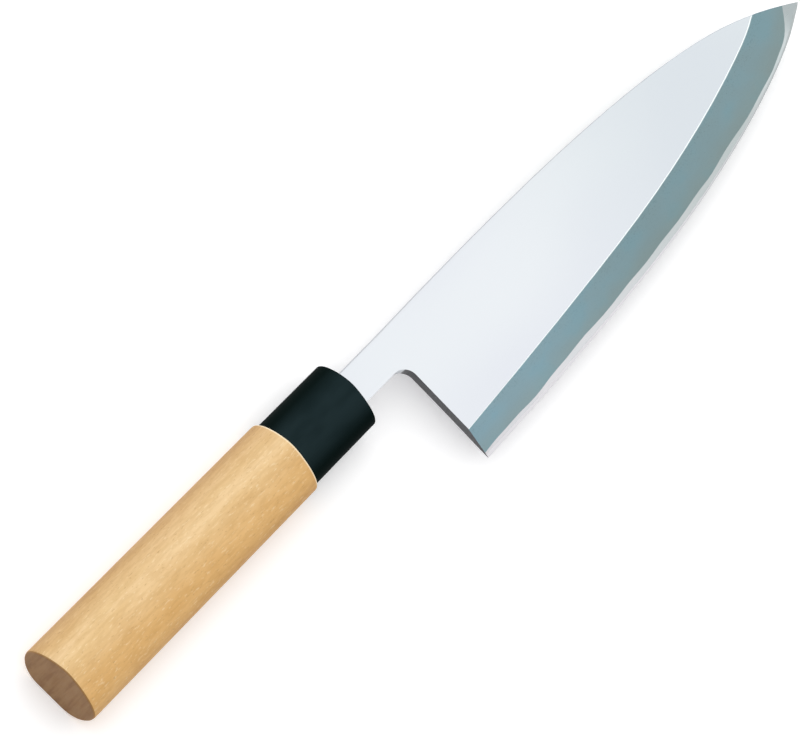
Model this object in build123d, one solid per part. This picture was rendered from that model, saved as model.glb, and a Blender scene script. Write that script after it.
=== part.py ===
from build123d import *
from math import atan, cos, degrees, pi, radians, sin, tan
import os

# A deba knife: a thick, single-bevel kitchen knife. Its blade is a hard layer at the back
# and a soft layer in front, with a wide bevel at the front and a hollow back. Its tapered
# tang is set in resin in a wooden handle of chestnut section, under a ferrule.
# Sizes are in millimetres and angles in degrees. X runs from the handle to the tip, Y from
# the edge to the spine and Z from the hollow back to the bevelled front. While the knife is
# laid out, x is 0 at the ferrule's front face, and y and z are 0 on the handle's axis.

# Blade outline, from the handle's axis and the ferrule's front face
blade_length = 166.5
heel_reach = 17.5
heel_lean = 1.0
heel_drop = 40.4
tip_drop = 12.9
spine_rise = 5.7
neck_drop = 5.4
notch_radius = 4.3
spine_length_shares = [0.179, 0.338, 0.477, 0.586, 0.695, 0.78, 0.862, 0.916, 0.958]
spine_fall_shares = [-0.019, -0.011, 0.023, 0.08, 0.174, 0.29, 0.46, 0.634, 0.801]
edge_length_shares = [0.195, 0.37, 0.536, 0.673, 0.784, 0.866, 0.934, 0.97]
edge_rise_shares = [0.051, 0.12, 0.218, 0.349, 0.498, 0.638, 0.788, 0.887]

# Blade thickness at the heel and at the tip, and how far its corners are eased
heel_thick = 4.0
tip_thick = 1.8
spine_ease = 0.4
spine_tip_ease = 0.1

# Wide bevel: its width along the blade, and what it leaves at its foot for the small bevel
bevel_heel_width = 9.6
bevel_belly_width = 13.1
bevel_tip_width = 12.95
bevel_foot = 0.3
small_bevel_angle = 30.0
edge_land = 0.1

# Hollow back: a shallow lens, widest a third of the way along the blade
hollow_width = 35.0
hollow_depth = 0.4
hollow_widest = 57.0
hollow_end = 154.0
hollow_heel_drop = 21.0
hollow_tip_drop = 12.5

# Hard layer: the height of its wavy weld over the back, as shares of the heel's thickness at
# even steps from the heel to the tip, and where the layer ends in the neck
weld_height_shares = [
    0.234, 0.257, 0.249, 0.249, 0.22, 0.221, 0.247, 0.245, 0.25, 0.255, 0.234,
    0.221, 0.223, 0.229, 0.215, 0.208, 0.214, 0.202, 0.192, 0.193, 0.186, 0.168,
    0.173, 0.172, 0.154, 0.137, 0.134, 0.13, 0.121, 0.127, 0.131, 0.203, 0.285,
]
core_neck_reach = 12.0
core_scarf = 3.0

# Tang
tang_length = 86.0
tang_end_height = 7.0
tang_end_thick = 2.6
tang_end_radius = 2.4

# Handle: full heights run along Y and full thicknesses along Z. Its flat is a narrow strip
# along the back, on which the knife lies still
handle_length = 123.9
butt_height = 26.2
butt_thick = 20.2
butt_round = 0.7
ridge_offset = 0.9
ridge_angle = 11.0
ridge_soft = 1.4
back_flat = 9.0
wood_proud = 1.0
wood_front_round = 0.6
wood_front_reach = 0.8

# Ferrule
ferrule_length = 26.5
ferrule_rear_height = 22.8
ferrule_rear_thick = 17.6
ferrule_front_height = 22.4
ferrule_front_thick = 17.0
ferrule_wall = 2.3
ferrule_front_wall = 5.0
ferrule_rim_round = 0.5
slot_clearance = 0.25

# Wooden tenon in the ferrule, and the resin round the tang
tenon_clearance = 0.1
tenon_end_gap = 0.4
resin_thick = 0.5
mouth_recess = 0.3

# How far each cutting shape runs past what it cuts
overrun = 12.0

# Fullness of the handle's curves, as shares of its half height and half thickness
back_curve_share = 0.56
front_curve_share = 0.50
ridge_curve_share = 0.50

# Stations along the edge, and rings of a rounded end
bevel_stations = 13
round_steps = 3

tip_x = heel_reach + blade_length
back_z = -heel_thick / 2
neck_rear_x = -ferrule_front_wall
tenon_front_x = -ferrule_front_wall - tenon_end_gap


def spine_points():
    """Points of the spine from the heel to the tip."""
    fall = spine_rise + tip_drop
    pairs = zip(spine_length_shares, spine_fall_shares)
    middle = [(heel_reach + along * blade_length, spine_rise - down * fall) for along, down in pairs]
    return [(heel_reach, spine_rise)] + middle + [(tip_x, -tip_drop)]


def edge_points():
    """Points of the cutting edge from the heel corner to the tip."""
    rise = heel_drop - tip_drop
    pairs = zip(edge_length_shares, edge_rise_shares)
    middle = [(heel_reach + along * blade_length, -heel_drop + up * rise) for along, up in pairs]
    return [(heel_reach, -heel_drop)] + middle + [(tip_x, -tip_drop)]


def blade_thick(x):
    """Thickness of the flat part of the blade, which thins evenly from the heel to the tip."""
    return heel_thick + (tip_thick - heel_thick) * max(x - heel_reach, 0) / blade_length


def blade_plate():
    """Neck and blade before grinding: the outline at its tapering thickness."""
    neck_corner = (neck_rear_x, -neck_drop)
    neck_line = Line(neck_corner, (neck_rear_x, spine_rise))
    top_line = Line((neck_rear_x, spine_rise), (heel_reach, spine_rise))
    spine_line = Spline(spine_points())
    edge_line = Spline(edge_points())
    notch = FilletPolyline(
        neck_corner,
        (heel_reach + heel_lean, -neck_drop),
        (heel_reach, -heel_drop),
        radius=notch_radius,
    )
    lines = [neck_line, top_line, spine_line, edge_line, notch]
    outline = make_face([edge for line in lines for edge in line.edges()])
    plate = extrude(outline, heel_thick)

    end_x = tip_x + overrun
    taper = Polyline(
        (-overrun, 0),
        (end_x, 0),
        (end_x, blade_thick(end_x)),
        (heel_reach, heel_thick),
        (-overrun, heel_thick),
        close=True,
    )
    return plate & extrude(Plane.XZ * make_face(taper), heel_drop + overrun, both=True)


def frames_along(points, inward_turn):
    """Places along a line of the outline, each with the way square to it into the blade."""
    line = Spline(points)
    frames = []
    for station in range(bevel_stations):
        share = station / (bevel_stations - 1)
        along = line % share
        inward = Vector(-along.Y, along.X) * inward_turn
        frames.append((line @ share, inward, share))
    return frames


def run_past_ends(points):
    """Points with one more at each end, so that a cut runs past the heel and the tip."""
    first = points[0] + (points[0] - points[1]).normalized() * overrun
    last = points[-1] + (points[-1] - points[-2]).normalized() * overrun
    return [first] + points + [last]


def ground_away(frames, feet, slopes, outside):
    """Steel that a grind takes, outside a ruled face that meets the outline at the given feet.

    Each foot is a height over the back of the blade, and each slope is the face's climb per
    millimetre inwards. The cut reaches sideways to y at outside.
    """
    faces = []
    for z in (-bevel_foot, heel_thick + bevel_foot):
        points = []
        for (point, inward, share), foot, slope in zip(frames, feet, slopes):
            place = point + inward * ((z - foot) / slope)
            points.append(Vector(place.X, place.Y, z))
        points = run_past_ends(points)
        curve = Spline(points)
        closing = Polyline(
            points[-1],
            (points[-1].X, outside, z),
            (points[0].X, outside, z),
            points[0],
        )
        faces.append(make_face(curve.edges() + closing.edges()))
    return loft(faces, ruled=True)


def wide_bevel_cut():
    """Wide bevel: flat across, from its foot at the edge up to the ridge line of the blade."""
    frames = frames_along(edge_points(), 1)
    slopes = []
    for point, inward, share in frames:
        rest = 1 - share
        middle = 2 * bevel_belly_width * share * rest
        width = bevel_heel_width * rest**2 + middle + bevel_tip_width * share**2
        ridge = point + inward * width
        slopes.append((blade_thick(ridge.X) - bevel_foot) / width)
    return ground_away(frames, [bevel_foot] * len(frames), slopes, -heel_drop - overrun * 2)


def small_bevel_cut():
    """Narrow, steeper bevel that brings the foot of the wide one down to the edge."""
    frames = frames_along(edge_points(), 1)
    slopes = [tan(radians(small_bevel_angle))] * len(frames)
    return ground_away(frames, [edge_land] * len(frames), slopes, -heel_drop - overrun * 2)


def spine_cuts():
    """Corners of the spine eased by small flats at 45 degrees, at the front and at the back."""
    neck_points = [(neck_rear_x, spine_rise)]
    frames = frames_along(neck_points + spine_points(), -1)
    eases = [spine_ease + (spine_tip_ease - spine_ease) * share for point, inward, share in frames]
    front_feet = [blade_thick(frame[0].X) - ease for frame, ease in zip(frames, eases)]
    outside = spine_rise + overrun * 2
    front = ground_away(frames, front_feet, [1] * len(frames), outside)
    back = ground_away(frames, eases, [-1] * len(frames), outside)
    return front, back


def hollow_cut():
    """Shallow lens ground out of the back, turned about a line that follows the blade."""
    radius = hollow_width**2 / (8 * hollow_depth)
    half_length = hollow_end - hollow_widest
    centre_z = hollow_depth - radius
    crown = Bezier((-half_length, 0), (0, 2 * hollow_depth), (half_length, 0))
    sides = Polyline((half_length, 0), (half_length, centre_z), (-half_length, centre_z), (-half_length, 0))
    profile = Plane.XZ * make_face(crown.edges() + sides.edges())
    lens = revolve(profile, Axis((0, 0, centre_z), (1, 0, 0)))

    slope = (hollow_heel_drop - hollow_tip_drop) / hollow_end
    middle_y = -hollow_heel_drop + slope * hollow_widest
    return Pos(heel_reach + hollow_widest, middle_y, 0) * Rot(0, 0, degrees(atan(slope))) * lens


def weld_points():
    """Points of the weld between the two layers, as x and height over the back of the blade."""
    heights = [share * heel_thick for share in weld_height_shares]
    step = blade_length / (len(heights) - 1)
    middle = [(heel_reach + step * count, height) for count, height in enumerate(heights)]
    return [(core_neck_reach, heights[0])] + middle + [(tip_x + heel_thick, heights[-1])]


def core_block():
    """Space of the hard layer: all that lies under the weld, from the neck to the tip."""
    points = weld_points()
    start_x = points[0][0]
    end_x = points[-1][0]
    weld = Spline(points)
    closing = Polyline(
        points[-1],
        (end_x, -heel_thick),
        (start_x - core_scarf, -heel_thick),
        (start_x - core_scarf, 0),
        points[0],
    )
    profile = make_face(weld.edges() + closing.edges())
    return extrude(Plane.XZ * profile, heel_drop + overrun, both=True)


def tang_section(x, extra):
    """Section of the neck or tang at x, made larger all round by extra."""
    share = max(neck_rear_x - x, 0) / (tang_length + neck_rear_x)
    height = spine_rise + neck_drop
    height = height + (tang_end_height - height) * share
    thick = heel_thick + (tang_end_thick - heel_thick) * share
    middle = Plane(origin=(x, (spine_rise - neck_drop) / 2, 0), x_dir=(0, 1, 0), z_dir=(1, 0, 0))
    return middle * Rectangle(height + 2 * extra, thick + 2 * extra)


def tang():
    """Tapered tang behind the neck, with its end rounded in plan."""
    bar = loft([tang_section(neck_rear_x, 0), tang_section(-tang_length, 0)], ruled=True)
    end_face = bar.faces().sort_by(Axis.X)[0]
    corners = end_face.edges().filter_by(Axis.Z)
    return fillet(corners, tang_end_radius)


def blade_layers():
    """Soft front layer with the neck and tang, and hard back layer with the edge."""
    ground = blade_plate() - wide_bevel_cut() - small_bevel_cut() - hollow_cut()
    for cut in spine_cuts():
        ground = ground - cut
    block = core_block()
    lift = Pos(0, 0, back_z)
    core = lift * (ground & block)
    cladding = lift * (ground - block) + tang()
    return cladding, core


def handle_section(x, height, thick):
    """Chestnut section: a soft ridge along the front, and a rounded back with a narrow flat."""
    half_height = height / 2
    half_thick = thick / 2
    fall = tan(radians(ridge_angle))
    crest_z = half_thick + ridge_soft * fall / 2
    upper_run = ridge_curve_share * (half_height - ridge_offset)
    lower_run = ridge_curve_share * (half_height + ridge_offset)
    top = (half_height, 0)
    belly = (-half_height, 0)
    half_flat = back_flat / 2
    back_low = (-half_flat, -half_thick)
    back_high = (half_flat, -half_thick)
    crest = (ridge_offset, crest_z)
    upper = (ridge_offset + ridge_soft, crest_z - ridge_soft * fall)
    lower = (ridge_offset - ridge_soft, crest_z - ridge_soft * fall)
    upper_bend = (ridge_offset + upper_run, crest_z - upper_run * fall)
    lower_bend = (ridge_offset - lower_run, crest_z - lower_run * fall)
    front_z = front_curve_share * half_thick
    back_z = back_curve_share * half_thick
    back_y = half_flat + back_curve_share * (half_height - half_flat)
    lines = [
        Bezier(top, (half_height, front_z), upper_bend, upper),
        Bezier(upper, crest, lower),
        Bezier(lower, lower_bend, (-half_height, front_z), belly),
        Bezier(belly, (-half_height, -back_z), (-back_y, -half_thick), back_low),
        Line(back_low, back_high),
        Bezier(back_high, (back_y, -half_thick), (half_height, -back_z), top),
    ]
    section = Plane(origin=(x, 0, 0), x_dir=(0, 1, 0), z_dir=(1, 0, 0))
    return section * make_face([edge for line in lines for edge in line.edges()])


def end_rounding(reach, depth):
    """Rings of a rounded end, each as its distance from the end face and how far it is drawn in."""
    rings = []
    for step in range(round_steps):
        angle = pi / 2 * step / round_steps
        rings.append((reach * (1 - cos(angle)), depth * (1 - sin(angle))))
    return rings + [(reach, 0)]


def handle_body(rear, front, rear_rings, front_rings):
    """Straight-tapered length of handle between two ends, each given as x, height and thickness."""
    rear_x, rear_height, rear_thick = rear
    front_x, front_height, front_thick = front
    rings = [(rear_x + back, inset) for back, inset in rear_rings]
    rings += [(front_x - back, inset) for back, inset in reversed(front_rings)]
    sections = []
    for x, inset in rings:
        share = (x - rear_x) / (front_x - rear_x)
        height = rear_height + (front_height - rear_height) * share
        thick = rear_thick + (front_thick - rear_thick) * share
        sections.append(handle_section(x, height - 2 * inset, thick - 2 * inset))
    return loft(sections, ruled=True)


def straight_body(rear_x, front_x, inset):
    """Straight length with the ferrule's rear section, drawn in all round by inset."""
    height = ferrule_rear_height - 2 * inset
    thick = ferrule_rear_thick - 2 * inset
    return loft([handle_section(rear_x, height, thick), handle_section(front_x, height, thick)], ruled=True)


def tang_slot():
    """Slot for the neck, from the ferrule's front face to the front of the wooden tenon."""
    return extrude(tang_section(0, slot_clearance), tenon_front_x)


def tang_hole():
    """Tapered hole for the tang and its resin, from the front of the tenon to the tang's end."""
    end_x = -tang_length - resin_thick
    return loft([tang_section(tenon_front_x, resin_thick), tang_section(end_x, resin_thick)], ruled=True)


def ferrule():
    """Ferrule: a tapered sleeve with a front wall, slotted for the tang."""
    rear = (-ferrule_length, ferrule_rear_height, ferrule_rear_thick)
    front = (0, ferrule_front_height, ferrule_front_thick)
    body = handle_body(rear, front, [(0, 0)], end_rounding(ferrule_rim_round, ferrule_rim_round))
    pocket = straight_body(-ferrule_length, -ferrule_front_wall, ferrule_wall)
    return body - pocket - tang_slot()


def grip():
    """Wooden grip with a tenon that seats in the ferrule, and its hole for the tang."""
    front_height = ferrule_rear_height + 2 * wood_proud
    front_thick = ferrule_rear_thick + 2 * wood_proud
    body = handle_body(
        (-handle_length, butt_height, butt_thick),
        (-ferrule_length, front_height, front_thick),
        end_rounding(butt_round, butt_round),
        end_rounding(wood_front_reach, wood_front_round),
    )
    tenon = straight_body(-ferrule_length, tenon_front_x, ferrule_wall + tenon_clearance)
    return body + tenon - tang_hole()


def tang_resin(cladding):
    """Hardened resin between the tang and its hole, from just inside the ferrule's mouth."""
    mouth = Pos(-mouth_recess, 0, 0) * Box(
        overrun, butt_height, butt_thick, align=(Align.MIN, Align.CENTER, Align.CENTER)
    )
    return tang_slot() + tang_hole() - mouth - cladding


def knife():
    """All pieces by name, where they sit on the laid-out knife."""
    cladding, core = blade_layers()
    return {
        "blade_cladding": cladding,
        "blade_core": core,
        "ferrule": ferrule(),
        "grip": grip(),
        "tang_resin": tang_resin(cladding),
    }


os.makedirs("parts", exist_ok=True)
pieces = knife()
box = Compound(list(pieces.values())).bounding_box()
to_origin = Pos(-box.center().X, -box.center().Y, -box.min.Z)
for name, piece in pieces.items():
    export_step(to_origin * piece, f"parts/{name}.step")
    print(name, piece.is_valid, len(piece.solids()), round(piece.volume, 1), len(piece.faces()))
print("size", box.size)
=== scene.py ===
import math

import bpy
from mathutils import Matrix, Vector

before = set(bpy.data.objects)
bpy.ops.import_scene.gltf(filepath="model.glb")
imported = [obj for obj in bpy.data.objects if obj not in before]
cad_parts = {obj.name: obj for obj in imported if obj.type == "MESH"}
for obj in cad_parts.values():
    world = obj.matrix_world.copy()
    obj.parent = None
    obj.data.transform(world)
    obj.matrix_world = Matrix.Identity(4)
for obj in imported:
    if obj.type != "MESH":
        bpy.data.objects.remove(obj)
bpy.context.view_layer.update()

# Lengths are in metres and angles in degrees. +X runs to the tip, +Y to the spine and +Z out of
# the bevelled front. Colours are linear.
MM = 0.001

# Blade: its flat front thins evenly from the heel, and the bevel falls away below it
heel_x = -12.55 * MM
blade_length = 166.5 * MM
heel_thick = 4.0 * MM
tip_thick = 1.8 * MM
flat_height = 12.1 * MM

# Handle: its axis, the front of the wood and the width of the pale painted highlight there
handle_y = 13.65 * MM
wood_front_x = -56.55 * MM
wood_front_highlight_width = 0.4 * MM

# Camera, from the photograph: how far it leans towards the butt, how far the knife's length is
# turned from level in the picture, how wide the picture is at the knife, and its middle. Then
# how far off the camera stands, how far it sees, and its film, which is in millimetres as
# Blender has it
camera_lean = 24.4
picture_turn = 45.46
picture_width = 222.2 * MM
picture_centre = Vector((-13.65, 7.5, 10.1)) * MM
camera_distance = 9.9
camera_reach = 39.6
film_width = 36.0

# In each group below, a tint multiplies the colour that it lies on. Limits are the two values
# between which a colour or tint comes in or fades. They are read off the height of a noise, which
# goes from 0 to 1, unless the group says otherwise. Grains are the noise's grains per metre along
# X, Y and Z, and detail is how many finer levels it has.

# Faces of the blade: the part of the normal along Z, or along X for the heel, where one face
# gives way to the next
flat_limits = (0.994, 0.998)
bevel_limits = (0.80, 0.85)
band_limits = (0.90, 0.93)
edge_limits = (0.4, 0.5)
heel_limits = (-0.75, -0.65)
# Painted dark reflection on the heel face, which looks back at the handle
heel_painted_reflection = (0.062, 0.062, 0.067)

# Flat of the blade: satin steel. Its tip limits are shares of the blade's length
flat_steel = (0.60, 0.625, 0.65)
flat_steel_cool = (0.57, 0.59, 0.63)
flat_cool_limits = (0.35, 0.7)
flat_cloud = {"grains": (14.0, 22.0, 14.0), "detail": 1.0}
flat_tip_tint = (0.91, 0.94, 0.93)
flat_tip_limits = (0.2, 0.75)

# Wide bevel: hazy grey steel. Its far limits are shares of the blade's length, and its weld,
# speck depth and painted glint limits are shares of the thickness, from the flat down
bevel_heel = (0.265, 0.395, 0.45)
bevel_far = (0.205, 0.30, 0.325)
bevel_far_limits = (0.0, 0.55)
bevel_weld_tint = (1.05, 0.96, 0.90)
bevel_weld_limits = (0.3, 0.75)
bevel_patch = {"grains": (90.0, 140.0, 90.0), "detail": 3.0}
bevel_warm_tint = (1.0, 0.98, 0.97)
bevel_warm_limits = (0.48, 0.65)
bevel_cool_tint = (0.95, 1.01, 1.03)
bevel_cool_limits = (0.35, 0.52)
bevel_specks = {"grains": (2200.0, 2200.0, 2200.0), "detail": 1.0}
bevel_speck_tint = (0.80, 0.82, 0.82)
bevel_speck_limits = (0.55, 0.75)
bevel_speck_depth_limits = (0.03, 0.35)
bevel_speck_deep_share = 0.2
# Painted glint: a bright line along the ridge, on the bevel's side of it
ridge_painted_glint = (0.95, 1.0, 1.0)
ridge_painted_glint_limits = (0.006, 0.032)

# Surface of the soft steel: roughness of the flat, what the bevel and the scratches add to it,
# and the scratches themselves
soft_rough = 0.30
bevel_rough = 0.22
soft_scratch_rough = 0.06
soft_scratches = {"grains": (300.0, 6000.0, 300.0), "detail": 1.0}
soft_scratch_depth = 0.002 * MM

# Hard steel: a bright band along the edge. Its far, tip and point limits and those of the edge's
# tip are shares of the blade's length
hard_heel = (0.65, 0.64, 0.665)
hard_far = (0.395, 0.43, 0.43)
hard_far_limits = (0.0, 0.75)
hard_tip = (0.46, 0.50, 0.505)
hard_tip_limits = (0.76, 0.88)
hard_point = (0.33, 0.365, 0.37)
hard_point_limits = (0.93, 0.975)
hard_cloud = {"grains": (90.0, 130.0, 90.0), "detail": 2.0}
hard_cloud_tint = (0.96, 0.98, 0.98)
hard_cloud_limits = (0.45, 0.65)
edge_ground = (0.87, 0.86, 0.88)
edge_tip = (0.60, 0.64, 0.64)
edge_tip_limits = (0.4, 1.0)

# Surface of the hard steel: its roughness, what the ground edge and the scratches add to it, and
# the scratches themselves
hard_rough = 0.24
edge_rough = 0.5
hard_scratch_rough = 0.12
hard_scratches = {"grains": (400.0, 7000.0, 400.0), "detail": 1.0}
hard_scratch_depth = 0.0015 * MM

# Wood, from the broad streaks of the grain to the short flecks
# Cream and pale colour the spine's side, partly the wood's tone and partly a painted sheen
wood_cream = (0.785, 0.567, 0.314)
wood_pale = (0.735, 0.515, 0.258)
wood_orange = (0.773, 0.478, 0.194)
wood_deep = (0.72, 0.428, 0.16)
wood_streaks = {"grains": (26.0, 230.0, 230.0), "detail": 3.0, "rough": 0.55, "distort": 0.3}
wood_streak_limits = (0.3, 0.7)
wood_blotches = {"grains": (95.0, 210.0, 210.0), "detail": 3.0, "rough": 0.6}
wood_blotch_tint = (0.955, 0.93, 0.885)
wood_blotch_limits = (0.42, 0.66)
wood_mottles = {"grains": (190.0, 1100.0, 1100.0), "detail": 2.0}
wood_mottle_tint = (0.94, 0.922, 0.893)
wood_mottle_limits = (0.40, 0.62)
wood_light_flecks = {"grains": (500.0, 1800.0, 1800.0), "detail": 2.0}
wood_fleck_light = (0.86, 0.68, 0.42)
wood_fleck_light_limits = (0.58, 0.72)
wood_dark_flecks = {"grains": (700.0, 2500.0, 2500.0), "detail": 1.0}
wood_fleck_dark = (0.45, 0.25, 0.09)
wood_fleck_dark_limits = (0.64, 0.76)
wood_fleck_share = 0.45

# Wood, by the place and the way that it faces. The turn limits are the places in Y between which
# the edge's side goes over to the spine's, whose paler cream is partly the wood's tone and partly
# a painted sheen. The front limits are places in X, for a pale line of painted highlight along the
# wood's front edge. The others are parts of the normal: along Z for painted shade on the sides,
# along Y for painted shade on the side of the spine, and against X for the butt and the painted
# shade on its rounded rim
wood_turn_limits = (handle_y - 9.0 * MM, handle_y + 6.0 * MM)
# Painted shade on the sides and on the side of the spine
wood_side_painted_shade = (0.82, 0.77, 0.71)
wood_side_shade_limits = (0.3, 0.95)
wood_spine_painted_shade = (0.87, 0.80, 0.72)
wood_spine_shade_limits = (0.25, 0.9)
# Painted highlight: a pale line along the wood's front edge
wood_front_painted_highlight = (0.92, 0.78, 0.56)
wood_front_highlight_share = 0.8
wood_front_highlight_limits = (wood_front_x - 2 * wood_front_highlight_width, wood_front_x - wood_front_highlight_width)
# Painted shade along the rounded rim of the butt
butt_rim_painted_shade = (0.28, 0.14, 0.045)
butt_rim_shade_share = 0.9
butt_rim_shade_limits = (0.3, 0.6)
butt_limits = (0.85, 0.97)
end_grain_light = (0.28, 0.155, 0.067)
end_grain_dark = (0.215, 0.108, 0.043)
end_rings = {"grains": (10.0, 620.0, 70.0), "detail": 3.0, "rough": 0.55, "distort": 0.2}
end_ring_limits = (0.3, 0.7)

# Surface of the wood: its roughness, what the streaks add to it, its shine and its relief
wood_rough = 0.48
wood_streak_rough = 0.2
wood_shine = 0.2
wood_relief = 0.02 * MM

# Ferrule: satin black, with painted shade along its sides.
# Its side limits are parts of the normal along Z
ferrule_black = (0.009, 0.018, 0.020)
ferrule_sheen = (0.014, 0.026, 0.029)
ferrule_cloud = {"grains": (60.0, 160.0, 160.0), "detail": 2.0}
ferrule_cloud_limits = (0.3, 0.7)
ferrule_side_painted_shade = (0.002, 0.006, 0.0055)
ferrule_side_shade_limits = (0.7, 1.0)
ferrule_rough = 0.45
ferrule_grain_rough = 0.1
ferrule_grain = {"grains": (900.0, 2600.0, 2600.0), "detail": 2.0}
ferrule_shine = 0.01
ferrule_relief = 0.004 * MM

# Hardened resin in the mouth of the ferrule
resin_brown = (0.12, 0.09, 0.055)
resin_pale = (0.2, 0.15, 0.09)
resin_cloud = {"grains": (700.0, 700.0, 700.0), "detail": 2.0}
resin_rough = 0.5
resin_relief = 0.05 * MM

# Floor: a large matt sheet with a faint glow, which keeps the shadows on it soft
floor_white = (0.92, 0.92, 0.925)
floor_rough = 0.9
floor_glow = 0.2
floor_size = 12.0

# Light of the tent: where it is brightest, and its strength overhead, towards the horizon and
# below the floor. Sky limits are how closely a direction agrees with the brightest one, and the
# ground limits are the part of a direction along Z
sky_middle = Vector((0.2, 0.25, 1.0))
sky_limits = (0.15, 0.8)
horizon_light = 0.3
zenith_light = 1.45
ground_limits = (-0.05, 0.0)
ground_light = 1.0
tent_white = (1.0, 1.0, 1.0)


class Tree:
    """The node tree of a material or of the world, with short calls for its nodes."""

    def __init__(self, owner):
        owner.use_nodes = True
        self.tree = owner.node_tree

    def add(self, kind, **settings):
        node = self.tree.nodes.new(kind)
        for key, value in settings.items():
            setattr(node, key, value)
        return node

    def link(self, source, target):
        self.tree.links.new(source, target)

    def put(self, value, socket):
        """Link an output to a socket, or set a plain value on it."""
        if isinstance(value, bpy.types.NodeSocket):
            self.link(value, socket)
        elif socket.type == "RGBA":
            socket.default_value = (*value, 1.0)
        else:
            socket.default_value = value

    def math(self, operation, first, second, clamp=False):
        node = self.add("ShaderNodeMath", operation=operation, use_clamp=clamp)
        self.put(first, node.inputs[0])
        self.put(second, node.inputs[1])
        return node.outputs[0]

    def vector_math(self, operation, first, second):
        node = self.add("ShaderNodeVectorMath", operation=operation)
        self.put(first, node.inputs[0])
        self.put(second, node.inputs[1])
        return node

    def both(self, first, second):
        """Product, which for two shares is where both apply."""
        return self.math("MULTIPLY", first, second)

    def axes(self, vector):
        """The parts of a vector along X, Y and Z."""
        node = self.add("ShaderNodeSeparateXYZ")
        self.link(vector, node.inputs[0])
        return node.outputs

    def ramp(self, value, limits, start, end, kind="SMOOTHSTEP"):
        """Step from start below the first limit to end above the second, smooth unless told."""
        node = self.add("ShaderNodeMapRange", interpolation_type=kind, clamp=True)
        low, high = limits
        self.put(value, node.inputs["Value"])
        self.put(low, node.inputs["From Min"])
        self.put(high, node.inputs["From Max"])
        self.put(start, node.inputs["To Min"])
        self.put(end, node.inputs["To Max"])
        return node.outputs[0]

    def rise(self, value, limits):
        return self.ramp(value, limits, 0.0, 1.0)

    def fall(self, value, limits):
        return self.ramp(value, limits, 1.0, 0.0)


class Finish(Tree):
    """The node tree of a new material, with the calls that the finishes share."""

    def __init__(self, name):
        self.material = bpy.data.materials.new(name)
        super().__init__(self.material)
        self.shader = self.tree.nodes["Principled BSDF"]
        self.place = self.add("ShaderNodeTexCoord").outputs["Object"]
        self.normal = self.axes(self.add("ShaderNodeNewGeometry").outputs["True Normal"])

    def noise(self, grains, detail, rough=0.5, distort=0.0):
        """Noise with the given number of grains per metre along X, Y and Z."""
        node = self.add("ShaderNodeTexNoise")
        self.link(self.vector_math("MULTIPLY", self.place, grains).outputs[0], node.inputs["Vector"])
        self.put(1.0, node.inputs["Scale"])
        self.put(detail, node.inputs["Detail"])
        self.put(rough, node.inputs["Roughness"])
        self.put(distort, node.inputs["Distortion"])
        return node.outputs[0]

    def mix(self, share, first, second, blend="MIX"):
        """Colour that goes from the first to the second with share.

        The colours of a mix node are its inputs 6 and 7 and its output 2.
        """
        node = self.add("ShaderNodeMix", data_type="RGBA", blend_type=blend)
        self.put(share, node.inputs[0])
        self.put(first, node.inputs[6])
        self.put(second, node.inputs[7])
        return node.outputs[2]

    def tint(self, share, colour, tint):
        """Colour multiplied by a tint, more so as share rises."""
        return self.mix(share, colour, tint, "MULTIPLY")

    def colour(self, colour):
        self.put(colour, self.shader.inputs["Base Color"])

    def roughness(self, base, *extras):
        """Roughness: a base, and for each extra a share of the amount that it adds."""
        rough = base
        for share, amount in extras:
            rough = self.math("ADD", rough, self.both(share, amount))
        self.put(rough, self.shader.inputs["Roughness"])

    def metal(self):
        self.put(1.0, self.shader.inputs["Metallic"])

    def shine(self, level):
        self.put(level, self.shader.inputs["Specular IOR Level"])

    def bump(self, height, depth):
        """Small relief, where a height of 1 stands the given depth proud."""
        node = self.add("ShaderNodeBump")
        self.put(1.0, node.inputs["Strength"])
        self.put(depth, node.inputs["Distance"])
        self.link(height, node.inputs["Height"])
        self.link(node.outputs["Normal"], self.shader.inputs["Normal"])

    def blade_share(self):
        """How far along the blade a point lies: 0 at the heel and 1 at the tip."""
        along = self.math("SUBTRACT", self.axes(self.place)[0], heel_x)
        return self.math("DIVIDE", along, blade_length, clamp=True)

    def depth_share(self, along):
        """How far below the flat a point lies: 0 on the flat and 1 at the back of the blade."""
        thinned = self.both(along, heel_thick - tip_thick)
        below = self.math("SUBTRACT", flat_height, self.axes(self.place)[2])
        below = self.math("SUBTRACT", below, thinned)
        return self.math("DIVIDE", below, self.math("SUBTRACT", heel_thick, thinned))

    def heel_face(self):
        """1 on the face that looks back at the handle, where a dark reflection is painted."""
        return self.fall(self.normal[0], heel_limits)


def bevel_colour(finish, along, depth):
    """Hazy grey of the wide bevel, cloudy and finely specked."""
    bevel = finish.mix(finish.rise(along, bevel_far_limits), bevel_heel, bevel_far)
    bevel = finish.tint(finish.rise(depth, bevel_weld_limits), bevel, bevel_weld_tint)
    patch = finish.noise(**bevel_patch)
    bevel = finish.tint(finish.rise(patch, bevel_warm_limits), bevel, bevel_warm_tint)
    bevel = finish.tint(finish.fall(patch, bevel_cool_limits), bevel, bevel_cool_tint)
    speck = finish.rise(finish.noise(**bevel_specks), bevel_speck_limits)
    fading = finish.ramp(depth, bevel_speck_depth_limits, 1.0, bevel_speck_deep_share)
    return finish.tint(finish.both(speck, fading), bevel, bevel_speck_tint)


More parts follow.
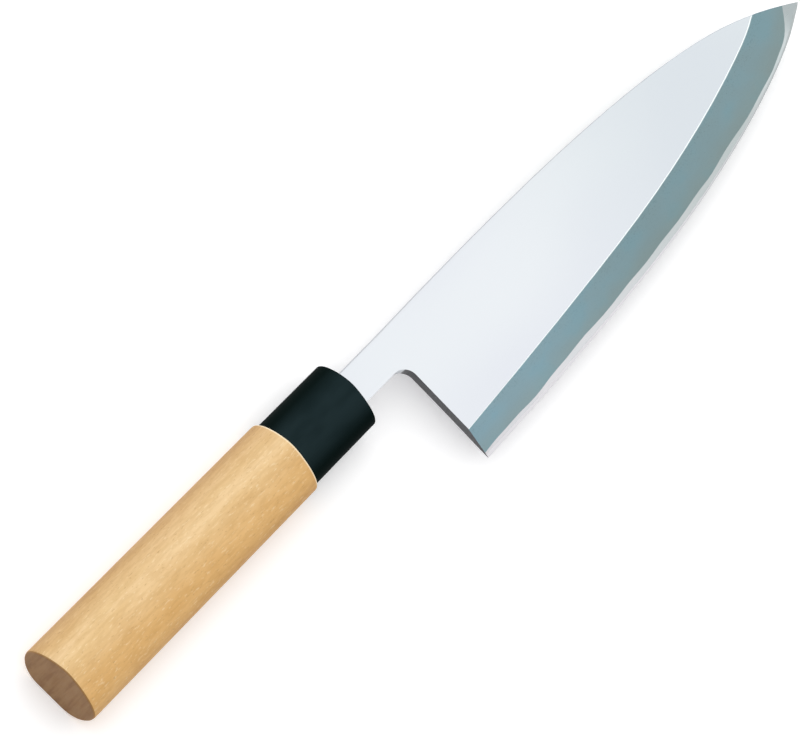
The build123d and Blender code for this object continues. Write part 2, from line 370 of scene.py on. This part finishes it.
def soft_steel():
    """Front layer: satin flat, hazy grey bevel, and a painted glint along the ridge between them."""
    finish = Finish("soft_steel")
    along = finish.blade_share()
    depth = finish.depth_share(along)
    facing = finish.normal[2]
    on_bevel = finish.both(finish.fall(facing, flat_limits), finish.rise(facing, bevel_limits))

    cloud = finish.rise(finish.noise(**flat_cloud), flat_cool_limits)
    flat = finish.mix(cloud, flat_steel, flat_steel_cool)
    flat = finish.tint(finish.rise(along, flat_tip_limits), flat, flat_tip_tint)
    colour = finish.mix(on_bevel, flat, bevel_colour(finish, along, depth))
    # Painted glint along the ridge
    painted_glint = finish.both(finish.fall(depth, ridge_painted_glint_limits), on_bevel)
    colour = finish.mix(painted_glint, colour, ridge_painted_glint)
    # Painted dark reflection on the heel face
    finish.colour(finish.mix(finish.heel_face(), colour, heel_painted_reflection))

    scratches = finish.noise(**soft_scratches)
    finish.roughness(soft_rough, (on_bevel, bevel_rough), (scratches, soft_scratch_rough))
    finish.metal()
    finish.bump(scratches, soft_scratch_depth)
    return finish.material


def hard_steel():
    """Back layer: bright, finely ground along the blade, with a dull ground edge."""
    finish = Finish("hard_steel")
    along = finish.blade_share()
    facing = finish.normal[2]
    on_edge = finish.both(finish.fall(facing, band_limits), finish.rise(facing, edge_limits))

    band = finish.mix(finish.rise(along, hard_far_limits), hard_heel, hard_far)
    band = finish.mix(finish.rise(along, hard_tip_limits), band, hard_tip)
    band = finish.mix(finish.rise(along, hard_point_limits), band, hard_point)
    cloud = finish.noise(**hard_cloud)
    band = finish.tint(finish.rise(cloud, hard_cloud_limits), band, hard_cloud_tint)
    edge = finish.mix(finish.rise(along, edge_tip_limits), edge_ground, edge_tip)
    colour = finish.mix(on_edge, band, edge)
    # Painted dark reflection on the heel face
    finish.colour(finish.mix(finish.heel_face(), colour, heel_painted_reflection))

    scratches = finish.noise(**hard_scratches)
    finish.roughness(hard_rough, (scratches, hard_scratch_rough), (on_edge, edge_rough))
    finish.metal()
    finish.bump(scratches, hard_scratch_depth)
    return finish.material


def pale_wood():
    """Sanded pale wood: cream at the spine's side, more orange at the other, with short flecks."""
    finish = Finish("pale_wood")
    places = finish.axes(finish.place)
    backward = finish.both(finish.normal[0], -1.0)
    at_butt = finish.rise(backward, butt_limits)
    at_butt_rim_shade = finish.both(finish.rise(backward, butt_rim_shade_limits), finish.math("SUBTRACT", 1.0, at_butt))
    at_front_highlight = finish.rise(places[0], wood_front_highlight_limits)

    streaks = finish.noise(**wood_streaks)
    grain = finish.rise(streaks, wood_streak_limits)
    # The spine's side: paler cream, partly the wood's tone and partly a painted sheen
    spine_tone_and_sheen = finish.mix(grain, wood_pale, wood_cream)
    deep_side = finish.mix(grain, wood_deep, wood_orange)
    tone = finish.mix(finish.rise(places[1], wood_turn_limits), deep_side, spine_tone_and_sheen)
    blotches = finish.rise(finish.noise(**wood_blotches), wood_blotch_limits)
    tone = finish.tint(blotches, tone, wood_blotch_tint)
    mottles = finish.rise(finish.noise(**wood_mottles), wood_mottle_limits)
    tone = finish.tint(mottles, tone, wood_mottle_tint)
    light = finish.rise(finish.noise(**wood_light_flecks), wood_fleck_light_limits)
    tone = finish.mix(finish.both(light, wood_fleck_share), tone, wood_fleck_light)
    dark_flecks = finish.noise(**wood_dark_flecks)
    dark = finish.rise(dark_flecks, wood_fleck_dark_limits)
    tone = finish.mix(finish.both(dark, wood_fleck_share), tone, wood_fleck_dark)
    # Painted shade on the sides and on the side of the spine
    tone = finish.tint(finish.fall(finish.normal[2], wood_side_shade_limits), tone, wood_side_painted_shade)
    tone = finish.tint(finish.rise(finish.normal[1], wood_spine_shade_limits), tone, wood_spine_painted_shade)
    # Painted highlight along the wood's front edge
    tone = finish.mix(finish.both(at_front_highlight, wood_front_highlight_share), tone, wood_front_painted_highlight)
    # Painted shade along the butt's rounded rim
    tone = finish.mix(finish.both(at_butt_rim_shade, butt_rim_shade_share), tone, butt_rim_painted_shade)

    rings = finish.rise(finish.noise(**end_rings), end_ring_limits)
    end_tone = finish.mix(rings, end_grain_dark, end_grain_light)
    finish.colour(finish.mix(at_butt, tone, end_tone))
    finish.roughness(wood_rough, (streaks, wood_streak_rough))
    finish.shine(wood_shine)
    finish.bump(finish.math("ADD", streaks, dark_flecks), wood_relief)
    return finish.material


def black_resin():
    """Ferrule: satin black with a cool, faint grain, and painted shade along its sides."""
    finish = Finish("black_resin")
    cloud = finish.rise(finish.noise(**ferrule_cloud), ferrule_cloud_limits)
    colour = finish.mix(cloud, ferrule_black, ferrule_sheen)
    # Painted shade along the ferrule's sides
    finish.colour(finish.mix(finish.fall(finish.normal[2], ferrule_side_shade_limits), colour, ferrule_side_painted_shade))
    grain = finish.noise(**ferrule_grain)
    finish.roughness(ferrule_rough, (grain, ferrule_grain_rough))
    finish.shine(ferrule_shine)
    finish.bump(grain, ferrule_relief)
    return finish.material


def set_resin():
    """Hardened resin: dull brown, slightly uneven."""
    finish = Finish("set_resin")
    cloud = finish.noise(**resin_cloud)
    finish.colour(finish.mix(cloud, resin_brown, resin_pale))
    finish.roughness(resin_rough)
    finish.bump(cloud, resin_relief)
    return finish.material


def pale_floor():
    """White sheet with a faint glow."""
    finish = Finish("pale_floor")
    finish.colour(floor_white)
    finish.roughness(floor_rough)
    finish.put(tent_white, finish.shader.inputs["Emission Color"])
    finish.put(floor_glow, finish.shader.inputs["Emission Strength"])
    return finish.material


def dress(finishes):
    """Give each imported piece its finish."""
    for name, material in finishes.items():
        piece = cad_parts[name]
        piece.data.materials.clear()
        piece.data.materials.append(material)


def add_floor():
    """Sheet that the knife lies on."""
    bpy.ops.mesh.primitive_plane_add(size=floor_size, location=(0, 0, 0))
    floor = bpy.context.object
    floor.name = "floor"
    floor.data.materials.append(pale_floor())


def add_camera():
    """Long lens that looks down on the knife from the butt's side, rolled as in the photograph."""
    lean = math.radians(camera_lean)
    turn = math.radians(picture_turn)
    back = Vector((-math.sin(lean), 0, math.cos(lean)))
    along = Vector((math.cos(lean), 0, math.sin(lean)))
    across = Vector((0, 1, 0))
    right = along * math.cos(turn) - across * math.sin(turn)
    up = along * math.sin(turn) + across * math.cos(turn)
    data = bpy.data.cameras.new("camera")
    data.sensor_width = film_width
    data.lens = film_width * camera_distance / picture_width
    data.clip_end = camera_reach
    camera = bpy.data.objects.new("camera", data)
    bpy.context.scene.collection.objects.link(camera)
    turned = Matrix((right, up, back)).transposed().to_4x4()
    camera.matrix_world = Matrix.Translation(picture_centre + back * camera_distance) @ turned
    bpy.context.scene.camera = camera


def set_world():
    """White tent: bright overhead, dimmer towards the horizon, and white below the floor."""
    world = bpy.data.worlds.new("studio")
    tent = Tree(world)
    direction = tent.add("ShaderNodeTexCoord").outputs["Generated"]
    agreement = tent.vector_math("DOT_PRODUCT", direction, sky_middle.normalized())
    sky = tent.ramp(agreement.outputs["Value"], sky_limits, horizon_light, zenith_light)
    ground = tent.ramp(tent.axes(direction)[2], ground_limits, ground_light, 0.0, "LINEAR")
    background = tent.tree.nodes["Background"]
    tent.put(tent.math("MAXIMUM", sky, ground), background.inputs["Strength"])
    tent.put(tent_white, background.inputs["Color"])
    bpy.context.scene.world = world


dress({
    "blade_cladding": soft_steel(),
    "blade_core": hard_steel(),
    "ferrule": black_resin(),
    "grip": pale_wood(),
    "tang_resin": set_resin(),
})
add_floor()
add_camera()
set_world()
bpy.context.scene.view_settings.view_transform = "Standard"
